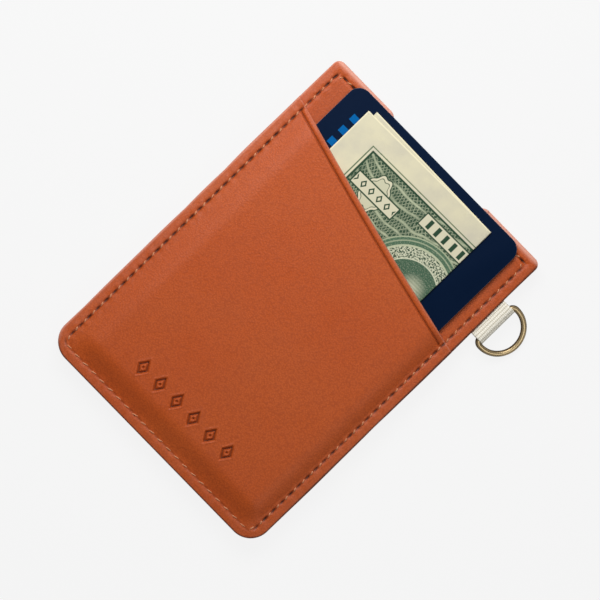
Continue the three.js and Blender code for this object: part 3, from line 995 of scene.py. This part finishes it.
def banknote_material(colours):
    """Cotton banknote paper with generic engraved line work: a ruled border round a ground of crossing
    ripples, a plain ringed seal, a scalloped oval with a ribbon, and a blank label with bars. The real
    lines are 0.1 to 0.2 mm apart, and are drawn 0.5 to 1 mm apart so that they show."""
    material, tree = blank_material("Printed cotton paper")
    uv = add(tree, "UVMap")
    # The sheet is measured in millimetres from its left end and down from its top edge, so the scale of a
    # noise is in blotches per millimetre.
    sheet = add(tree, "VectorMath", [uv, (1000.0, 1000.0, 0.0)], operation="MULTIPLY")
    parts = add(tree, "SeparateXYZ", [sheet])
    x, y = parts.outputs["X"], parts.outputs["Y"]
    ink = rgba(colours.ink)
    cream = rgba(linear("#D3CEB2"))
    paper = bare_paper(tree, sheet, x, y, colours)
    ground = within(tree, x, y, (7.75, 148.2, 6.2, 59.9))
    # Fine engraving breaks up the solid inks.
    grit = add(tree, "TexNoise", {"Vector": sheet, "Scale": 3.2, "Detail": 2.0})
    grit = add(tree, "MapRange", [grit, 0.5, 0.68, 0.0, 0.25])
    grit = add(tree, "Math", [grit, ground], operation="MULTIPLY")
    printed = paper
    for mask, colour in (
        (within(tree, x, y, (6.45, 149.5, 4.95, 61.2)), rgba(linear("#5B6F52"))),
        (within(tree, x, y, (6.75, 149.2, 5.2, 60.9)), paper),
        (within(tree, x, y, (7.25, 148.7, 5.75, 60.4)), ink),
        (ground, ground_ink(tree, sheet, ink)),
        *seal_inks(tree, sheet, y, ink),
        (grit, rgba(linear("#C9CBB0"))),
        *oval_inks(tree, sheet, x, y, ink, cream),
        *label_inks(tree, x, y, ink, cream),
    ):
        printed = add(tree, "Mix", [mask, printed, colour], data_type="RGBA")
    fibres = add(tree, "TexNoise", {"Vector": sheet, "Scale": 3.0, "Detail": 4.0})
    bump = add(tree, "Bump", {"Strength": 0.25, "Distance": 0.03 * MM, "Height": fibres})
    finish = {"Base Color": printed, "Roughness": 0.8, "Normal": bump, "Specular IOR Level": 0.2}
    shader = add(tree, "BsdfPrincipled", finish)
    add(tree, "OutputMaterial", {"Surface": shader})
    return material


def table_material(colours):
    """A matt white studio table, lit from within a little, so that the wallet's shadow stays faint."""
    material, tree = blank_material("Matt white laminate")
    finish = {
        "Base Color": rgba(linear("#454545")),
        "Roughness": 0.9,
        "Specular IOR Level": 0.0,
        "Emission Color": rgba(colours.table),
        "Emission Strength": 0.94,
    }
    shader = add(tree, "BsdfPrincipled", finish)
    add(tree, "OutputMaterial", {"Surface": shader})
    return material


# ---- Operators ---------------------------------------------------------------------------------------


def face_leather(colours):
    """The leather of all the panels, made the first time that one asks for it."""
    return bpy.data.materials.get(LEATHER_NAME) or leather_material(colours)


class WALLET_OT_front_pocket(bpy.types.Operator):
    """Builds the front pocket's leather, with its slanted, creased mouth and debossed marks"""

    bl_idname = "wallet.front_pocket"
    bl_label = "Front Pocket"
    bl_options = {"REGISTER", "UNDO"}

    def execute(self, context):
        sizes = context.scene.wallet_sizes
        colours = context.scene.wallet_colours

        def mouth(x):
            return slanted_mouth(x, sizes)

        bm = pocket_panel(sizes, Seam(sizes), mouth, FRONT_SEAM_Z, 1, FRONT_RISE, marked=True)
        finish_piece(
            bm, "front_pocket_leather", "wallet", ["front_pocket_panel"], [face_leather(colours)]
        )
        return {"FINISHED"}


class WALLET_OT_rear_pocket(bpy.types.Operator):
    """Builds the rear pocket's leather, with its straight mouth"""

    bl_idname = "wallet.rear_pocket"
    bl_label = "Rear Pocket"
    bl_options = {"REGISTER", "UNDO"}

    def execute(self, context):
        sizes = context.scene.wallet_sizes
        colours = context.scene.wallet_colours

        def mouth(_x):
            return sizes.rear_mouth

        bm = pocket_panel(sizes, Seam(sizes), mouth, REAR_SEAM_Z, -1, REAR_RISE, marked=False)
        finish_piece(
            bm, "rear_pocket_leather", "wallet", ["rear_pocket_panel"], [face_leather(colours)]
        )
        return {"FINISHED"}


class WALLET_OT_core(bpy.types.Operator):
    """Builds the core: two notched leather panels with the fibre board between them"""

    bl_idname = "wallet.core"
    bl_label = "Core"
    bl_options = {"REGISTER", "UNDO"}

    def execute(self, context):
        sizes = context.scene.wallet_sizes
        colours = context.scene.wallet_colours
        seam = Seam(sizes)

        def above_front_mouth(x, y):
            return y > slanted_mouth(x, sizes)

        def above_rear_mouth(_x, y):
            return y > sizes.rear_mouth

        leather = face_leather(colours)
        middle = core_panel(sizes, CORE_LOW.z, CORE_HIGH.z, seam.relief, above_front_mouth)
        finish_piece(middle, "middle_leather", "wallet", ["middle_panel"], [leather])
        low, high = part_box("back_panel")
        back = core_panel(sizes, high.z, low.z, seam.relief, above_rear_mouth)
        finish_piece(back, "back_leather", "wallet", ["back_panel"], [leather])
        low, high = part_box("stiffener_board")
        board = core_panel(sizes, low.z, high.z)
        fibre = board_material(colours)
        finish_piece(board, "fibre_board", "wallet", ["stiffener_board"], [fibre])
        return {"FINISHED"}


class WALLET_OT_linings(bpy.types.Operator):
    """Finishes the two pocket linings, whose shapes come from the frame"""

    bl_idname = "wallet.linings"
    bl_label = "Linings"
    bl_options = {"REGISTER", "UNDO"}

    def execute(self, _context):
        twill = lining_material()
        for name in ("front_pocket_lining", "rear_pocket_lining"):
            lining = frame["nodes"][name]
            lining.data.materials.clear()
            lining.data.materials.append(twill)
        return {"FINISHED"}


class WALLET_OT_stitching(bpy.types.Operator):
    """Sews the stitches of the seam, one by one, on the front and on the back"""

    bl_idname = "wallet.stitching"
    bl_label = "Stitching"
    bl_options = {"REGISTER", "UNDO"}

    def execute(self, context):
        sizes = context.scene.wallet_sizes
        colours = context.scene.wallet_colours
        holes = [point for point, _ in Seam(sizes).holes]
        thread = thread_material(colours)
        low = 0.02 * MM  # how far the middle of a stitch lies below the leather's face
        dip = 0.34 * MM  # how far its ends go down into the holes

        def front_level(x, y):
            return FRONT_SEAM_Z + (LEATHER if y < slanted_mouth(x, sizes) else 0)

        def back_level(x, y):
            return REAR_SEAM_Z - (LEATHER if y < sizes.rear_mouth else 0)

        for name, node, level, up in (
            ("needle_stitches", "seam_thread_front", front_level, 1),
            ("bobbin_stitches", "seam_thread_back", back_level, -1),
        ):
            bm = bmesh.new()
            for i, (start, end) in enumerate(zip(holes, [*holes[1:], holes[0]])):
                middle = (start + end) / 2
                lift = Vector((0, 0, level(middle.x, middle.y) - up * low))
                # Stitches along the bottom are pulled less, so more of their thread shows.
                pull = 1 - 0.45 * (middle.y < 0) * abs((end - start).normalized().x)
                sway = noise.noise(Vector((0, 0, i * STRAY)))
                length = sizes.stitch_pitch - 1.45 * MM * pull + 0.25 * MM * sway
                tilt = math.radians(24 * pull + 12 * sway)
                thickness = sizes.thread * (0.6 + 0.4 * pull)
                stitch(bm, start + lift, end + lift, length, thickness, up * dip, tilt)
            finish_piece(bm, name, "wallet", [node], [thread])
        return {"FINISHED"}


class WALLET_OT_tab(bpy.types.Operator):
    """Builds the grosgrain tab that is folded round the D-ring's bar"""

    bl_idname = "wallet.tab"
    bl_label = "Tab"
    bl_options = {"REGISTER", "UNDO"}

    def execute(self, context):
        sizes = context.scene.wallet_sizes
        colours = context.scene.wallet_colours
        half_plies = sizes.ribbon / 2
        loop = TAB_HIGH.x - BAR.x - half_plies
        start = TAB_LOW.x - BAR.x
        leaves = HALF_WIDTH - BAR.x - 0.4 * MM
        upper = geometry.interpolate_bezier(
            Vector((leaves, 0, half_plies)),
            Vector((leaves + 0.9 * MM, 0, half_plies)),
            Vector((-0.8 * MM, 0, loop)),
            Vector((0, 0, loop)),
            16,
        )
        bend = [
            Vector((loop * math.sin(math.radians(a)), 0, loop * math.cos(math.radians(a))))
            for a in range(6, 91, 6)
        ]
        half = [Vector((start, 0, half_plies)), *upper, *bend]
        line = [*half, *[Vector((p.x, 0, -p.z)) for p in reversed(half[:-1])]]
        lengths = running_lengths(line)
        total = lengths[-1]

        def on_line(distance):
            """(point, direction) at a distance along the ribbon."""
            ends = (i for i, reached in enumerate(lengths[1:]) if reached >= distance - 1e-9)
            i = next(ends, len(line) - 2)
            step = line[i + 1] - line[i]
            return line[i] + step * (distance - lengths[i]) / step.length, step.normalized()

        bm = bmesh.new()
        spill = 0.3 * MM  # how far the ribbon's selvedge swells on each side
        width = TAB_HIGH.y - TAB_LOW.y + 2 * spill
        bmesh.ops.create_grid(bm, x_segments=round(total / (0.1 * MM)), y_segments=26, size=0.5)
        bmesh.ops.translate(bm, verts=bm.verts, vec=(0.5, 0.5, 0))
        side = add_back(bm, -1.0)
        groove = bm.verts.layers.float.new("groove")
        uv = bm.loops.layers.uv.new("UVMap")
        for face in bm.faces:
            for corner in face.loops:
                corner[uv].uv = (corner.vert.co.x * total, corner.vert.co.y * width)
        for vert in bm.verts:
            along, across = vert.co.x * total, vert.co.y
            point, direction = on_line(along)
            outward = Vector((-direction.z, 0, direction.x))
            rib = abs(math.sin(math.pi * along / sizes.rib))
            selvedge = max(hump(across, 0.03), hump(1 - across, 0.03))
            swell = (0.72 + 0.28 * rib + 0.1 * selvedge) * half_plies
            vert[groove] = (1 - rib) ** 2
            vert.co = BAR + point + outward * swell * vert[side]
            vert.co.y = TAB_LOW.y - spill + across * width
        bmesh.ops.recalc_face_normals(bm, faces=bm.faces)
        grosgrain = grosgrain_material(colours)
        finish_piece(bm, "grosgrain_tab", "wallet", ["tab_webbing"], [grosgrain])
        return {"FINISHED"}


class WALLET_OT_ring(bpy.types.Operator):
    """Bends the D-ring from round wire, hanging from its bar onto the table"""

    bl_idname = "wallet.ring"
    bl_label = "D-Ring"
    bl_options = {"REGISTER", "UNDO"}

    def execute(self, context):
        sizes = context.scene.wallet_sizes
        colours = context.scene.wallet_colours
        radius = sizes.wire / 2
        bend = 1.4 * MM
        straight = 0.3 * MM
        gap = 0.1 * MM  # half of the butt joint, inside the tab
        half_bar = (RING_HIGH.y - RING_LOW.y) / 2 - radius - bend
        reach = bend + straight + half_bar + bend
        hang = math.asin((BAR.z - radius - RING_LOW.z) / reach)
        bm = bmesh.new()
        bmesh.ops.create_circle(
            bm,
            segments=20,
            radius=radius,
            cap_ends=False,
            matrix=Matrix.Translation((0, gap, 0)) @ Matrix.Rotation(math.radians(90), 4, "X"),
        )
        end = bm.edges[:]

        def draw(vector, steps=1):
            nonlocal end
            for _ in range(steps):
                made = bmesh.ops.extrude_edge_only(bm, edges=end)
                end = [g for g in made["geom"] if isinstance(g, bmesh.types.BMEdge)]
                end = [e for e in end if e.is_boundary and len(e.link_faces) == 1]
                verts = {v for e in end for v in e.verts}
                bmesh.ops.translate(bm, verts=list(verts), vec=Vector(vector) / steps)

        def turn(centre, degrees, steps):
            nonlocal end
            made = bmesh.ops.spin(
                bm,
                geom=end,
                cent=centre,
                axis=(0, 0, 1),
                angle=math.radians(degrees),
                steps=steps,
                use_merge=False,
                use_duplicate=False,
            )
            end = [g for g in made["geom_last"] if isinstance(g, bmesh.types.BMEdge)]

        draw((0, half_bar - gap, 0), 4)
        turn((bend, half_bar, 0), -90, 10)
        draw((straight, 0, 0))
        turn((bend + straight, 0, 0), -180, 44)
        draw((-straight, 0, 0))
        turn((bend, -half_bar, 0), -90, 10)
        draw((0, half_bar - gap, 0), 4)
        bmesh.ops.remove_doubles(bm, verts=bm.verts, dist=0.001 * MM)
        bmesh.ops.holes_fill(bm, edges=[e for e in bm.edges if e.is_boundary], sides=0)
        bmesh.ops.recalc_face_normals(bm, faces=bm.faces)
        # The wire's two faces are marked bright; its inside and outside get the dark patina, which is
        # partly painted shade.
        rubbed = bm.verts.layers.float.new("rubbed")
        for vert in bm.verts:
            vert[rubbed] = abs(vert.co.z) / radius
        place = Matrix.Translation(BAR) @ Matrix.Rotation(hang, 4, "Y")
        bmesh.ops.transform(bm, matrix=place, verts=bm.verts)
        brass = brass_material(colours)
        finish_piece(bm, "brass_d_ring", "ring", ["d_ring"], [brass], sharp_angle=40)
        return {"FINISHED"}


class WALLET_OT_card(bpy.types.Operator):
    """Builds the plastic card and its contact plate"""

    bl_idname = "wallet.card"
    bl_label = "Card"
    bl_options = {"REGISTER", "UNDO"}

    def execute(self, context):
        colours = context.scene.wallet_colours
        size = CARD_HIGH - CARD_LOW
        corner_radius = 3.18 * MM
        rim = 0.13 * MM
        room = 0.12 * MM  # round the contact plate
        bm = bmesh.new()
        bmesh.ops.create_grid(bm, x_segments=1, y_segments=1, size=0.5)
        bmesh.ops.scale(bm, vec=(size.x, size.y, 1), verts=bm.verts)
        bmesh.ops.bevel(
            bm,
            geom=bm.verts[:],
            offset=corner_radius,
            segments=14,
            profile=0.5,
            affect="VERTICES",
            material=-1,
        )
        middle = (CARD_LOW + CARD_HIGH) / 2
        bmesh.ops.translate(bm, verts=bm.verts, vec=(middle.x, middle.y, CARD_LOW.z))
        made = bmesh.ops.extrude_face_region(bm, geom=bm.faces[:])
        top = [g for g in made["geom"] if isinstance(g, bmesh.types.BMVert)]
        bmesh.ops.translate(bm, verts=top, vec=(0, 0, size.z))
        bmesh.ops.recalc_face_normals(bm, faces=bm.faces)
        rims = [e for e in bm.edges if abs(e.calc_face_angle(0)) > math.radians(60)]
        bmesh.ops.bevel(bm, geom=rims, offset=rim, segments=3, profile=0.5, affect="EDGES", material=-1)
        for corner, outward in ((PLATE_LOW, -1), (PLATE_HIGH, 1)):
            for axis in ((1, 0, 0), (0, 1, 0)):
                normal = Vector(axis) * outward
                bmesh.ops.bisect_plane(
                    bm,
                    geom=bm.verts[:] + bm.edges[:] + [f for f in bm.faces if f.normal.z > 0.9],
                    plane_co=corner + normal * room,
                    plane_no=normal,
                )
        recess = [f for f in bm.faces if f.normal.z > 0.9 and self.in_plate(f.calc_center_median())]
        made = bmesh.ops.extrude_face_region(bm, geom=recess)
        sunk = [g for g in made["geom"] if isinstance(g, bmesh.types.BMVert)]
        bmesh.ops.translate(bm, verts=sunk, vec=(0, 0, PLATE_LOW.z - CARD_HIGH.z))
        bmesh.ops.delete(bm, geom=recess, context="FACES")
        laminate = card_material(colours)
        finish_piece(bm, "plastic_card", "payment_card", ["card"], [laminate], sharp_angle=35)
        self.build_plate()
        return {"FINISHED"}

    @staticmethod
    def in_plate(point):
        return PLATE_LOW.x < point.x < PLATE_HIGH.x and PLATE_LOW.y < point.y < PLATE_HIGH.y

    @staticmethod
    def build_plate():
        """Eight pads round a middle one, parted by narrow grooves."""
        size = PLATE_HIGH - PLATE_LOW
        groove_depth = 0.05 * MM
        bm = bmesh.new()
        bmesh.ops.create_grid(bm, x_segments=3, y_segments=4, size=0.5)
        middle = [e for e in bm.edges if all(abs(v.co.x) < 0.2 for v in e.verts)]
        rungs = [e for e in middle if abs(e.verts[0].co.y - e.verts[1].co.y) < 1e-6]
        bmesh.ops.dissolve_edges(bm, edges=rungs, use_verts=False)
        bmesh.ops.scale(bm, vec=(size.x, size.y, 1), verts=bm.verts)
        centre = (PLATE_LOW + PLATE_HIGH) / 2
        bmesh.ops.translate(bm, verts=bm.verts, vec=(centre.x, centre.y, PLATE_HIGH.z - groove_depth))
        bmesh.ops.inset_individual(bm, faces=bm.faces[:], thickness=0.14 * MM, depth=groove_depth)
        base = bmesh.ops.extrude_face_region(bm, geom=bm.faces[:])
        low = [g for g in base["geom"] if isinstance(g, bmesh.types.BMVert)]
        for vert in low:
            vert.co.z = PLATE_LOW.z
        bmesh.ops.recalc_face_normals(bm, faces=bm.faces)
        gold = gold_material()
        finish_piece(
            bm, "contact_plate", "payment_card", ["card_contact_plate"], [gold], flat=True
        )


class WALLET_OT_banknote(bpy.types.Operator):
    """Folds the banknote twice across its length"""

    bl_idname = "wallet.banknote"
    bl_label = "Banknote"
    bl_options = {"REGISTER", "UNDO"}

    def execute(self, context):
        sizes = context.scene.wallet_sizes
        colours = context.scene.wallet_colours
        left, right = NOTE_LOW.x, NOTE_HIGH.x
        spacing = (NOTE_HIGH.z - NOTE_LOW.z - sizes.paper) / 3
        levels = [NOTE_HIGH.z - sizes.paper / 2 - i * spacing for i in range(4)]
        slip = 1.6 * MM  # how far the rear fold lies inside the front one
        askew = 0.6 * MM  # how much higher a fold is than the one before it
        # From the front ply's loose end round the outer fold, back along the rear ply, round the left fold
        # and through the inner fold to the other loose end.
        line = [Vector((left, 0, levels[0]))]
        self.fold(line, right, levels[0], levels[3])
        self.fold(line, left + slip, levels[3], levels[2])
        self.fold(line, right - 0.5 * MM, levels[2], levels[1])
        line.append(Vector((left + 0.4 * MM, 0, levels[1])))
        line = self.resample(line, 0.9 * MM)
        lengths = running_lengths(line)
        quarter = lengths[-1] / 4

        bm = bmesh.new()
        rows = 66
        bmesh.ops.create_grid(bm, x_segments=len(line) - 1, y_segments=rows, size=0.5)
        side = add_back(bm, -1.0)
        uv = bm.loops.layers.uv.new("UVMap")
        height = NOTE_HIGH.y - NOTE_LOW.y - 2 * askew
        for face in bm.faces:
            for corner in face.loops:
                at = round((corner.vert.co.x + 0.5) * (len(line) - 1))
                corner[uv].uv = (lengths[at], (0.5 - corner.vert.co.y) * height)
        for vert in bm.verts:
            at = round((vert.co.x + 0.5) * (len(line) - 1))
            before, after = line[max(at - 1, 0)], line[min(at + 1, len(line) - 1)]
            direction = (after - before).normalized()
            outward = Vector((-direction.z, 0, direction.x))
            # The folds are a little askew, so each ply's top edge runs at its own slope.
            turns = lengths[at] / quarter
            climb = askew * (turns if turns < 2 else 4 - turns)
            y = NOTE_LOW.y + height * (vert.co.y + 0.5) + climb
            vert.co = line[at] + outward * sizes.paper / 2 * vert[side]
            vert.co.y = y
            vert.co.z += 0.02 * MM * noise.noise(Vector((vert.co.x * 80, y * 80, 0)))
        bmesh.ops.recalc_face_normals(bm, faces=bm.faces)
        paper = banknote_material(colours)
        finish_piece(bm, "folded_banknote", "folded_note", ["banknote"], [paper], sharp_angle=50)
        return {"FINISHED"}

    @staticmethod
    def fold(line, x, start_z, end_z):
        """Carries the line to x at its present height and turns it round to another height."""
        away = 1 if x > line[-1].x else -1
        radius = abs(start_z - end_z) / 2
        middle = Vector((x - away * radius, 0, (start_z + end_z) / 2))
        for i in range(9):
            angle = math.pi * i / 8
            rise = math.copysign(radius, start_z - end_z) * math.cos(angle)
            line.append(middle + Vector((away * radius * math.sin(angle), 0, rise)))

    @staticmethod
    def resample(line, step):
        """The same line with long stretches cut into steps."""
        points = []
        for a, b in zip(line, line[1:]):
            count = max(1, round((b - a).length / step))
            points.extend(a.lerp(b, i / count) for i in range(count))
        return [*points, line[-1]]


class WALLET_OT_stage(bpy.types.Operator):
    """Lays the table and sets the lights and the camera"""

    bl_idname = "wallet.stage"
    bl_label = "Stage"
    bl_options = {"REGISTER", "UNDO"}

    def execute(self, context):
        colours = context.scene.wallet_colours
        scene = bpy.context.scene
        bm = bmesh.new()
        bmesh.ops.create_grid(bm, x_segments=1, y_segments=1, size=3)
        bmesh.ops.translate(bm, verts=bm.verts, vec=(0, 0, -0.02 * MM))
        mesh = bpy.data.meshes.new("table")
        bm.to_mesh(mesh)
        bm.free()
        mesh.materials.append(table_material(colours))
        table = bpy.data.objects.new("table", mesh)
        scene.collection.objects.link(table)

        # The camera looks straight down, and is turned so that the wallet lies aslant in its view.
        turned = math.radians(45.7)
        up = Vector((-math.sin(turned), math.cos(turned), 0))
        focus = Vector((0.37, 1.33, 5.0)) * MM
        seen_width = 138.7 * MM

        lens = bpy.data.cameras.new("camera")
        lens.lens = 200
        lens.sensor_width = 36
        lens.clip_end = 10
        camera = bpy.data.objects.new("camera", lens)
        camera.location = focus + Vector((0, 0, seen_width * lens.lens / lens.sensor_width))
        camera.rotation_euler = (0, 0, turned)
        scene.collection.objects.link(camera)
        scene.camera = camera

        for name, place, width, height, watts in (
            ("window light", up * 0.17 + Vector((0, 0, 0.21)), 0.24, 0.15, 0.73),
            ("side light", Vector((0.45, 0, 0.7)), 0.5, 0.5, 1.06),
        ):
            lamp = bpy.data.lights.new(name, "AREA")
            lamp.shape = "RECTANGLE"
            lamp.size, lamp.size_y = width, height
            lamp.energy = watts
            light = bpy.data.objects.new(name, lamp)
            light.location = place
            light.rotation_euler = (-place).to_track_quat("-Z", "Y").to_euler()
            scene.collection.objects.link(light)

        world = bpy.data.worlds.new("studio")
        world.use_nodes = True
        background = world.node_tree.nodes["Background"]
        background.inputs["Color"].default_value = rgba(linear("#FFFFFF"))
        background.inputs["Strength"].default_value = 0.16
        scene.world = world
        scene.view_settings.view_transform = "Standard"
        return {"FINISHED"}


class WALLET_PT_panel(bpy.types.Panel):
    """Lists the wallet's operators, sizes and colours"""

    bl_label = "Card Wallet"
    bl_space_type = "VIEW_3D"
    bl_region_type = "UI"
    bl_category = "Wallet"

    def draw(self, context):
        for operator in OPERATORS:
            self.layout.operator(operator.bl_idname)
        for group in (context.scene.wallet_sizes, context.scene.wallet_colours):
            for name in group.__annotations__:
                self.layout.prop(group, name)


OPERATORS = (
    WALLET_OT_stage,
    WALLET_OT_core,
    WALLET_OT_front_pocket,
    WALLET_OT_rear_pocket,
    WALLET_OT_linings,
    WALLET_OT_stitching,
    WALLET_OT_tab,
    WALLET_OT_ring,
    WALLET_OT_card,
    WALLET_OT_banknote,
)
CLASSES = (WalletSizes, WalletColours, *OPERATORS, WALLET_PT_panel)


def register():
    for cls in CLASSES:
        bpy.utils.register_class(cls)
    bpy.types.Scene.wallet_sizes = bpy.props.PointerProperty(type=WalletSizes)
    bpy.types.Scene.wallet_colours = bpy.props.PointerProperty(type=WalletColours)


def unregister():
    del bpy.types.Scene.wallet_colours
    del bpy.types.Scene.wallet_sizes
    for cls in reversed(CLASSES):
        bpy.utils.unregister_class(cls)


def main():
    register()
    bpy.ops.wallet.stage()
    bpy.ops.wallet.core()
    bpy.ops.wallet.front_pocket()
    bpy.ops.wallet.rear_pocket()
    bpy.ops.wallet.linings()
    bpy.ops.wallet.stitching()
    bpy.ops.wallet.tab()
    bpy.ops.wallet.ring()
    bpy.ops.wallet.card()
    bpy.ops.wallet.banknote()


if __name__ == "__main__":
    main()
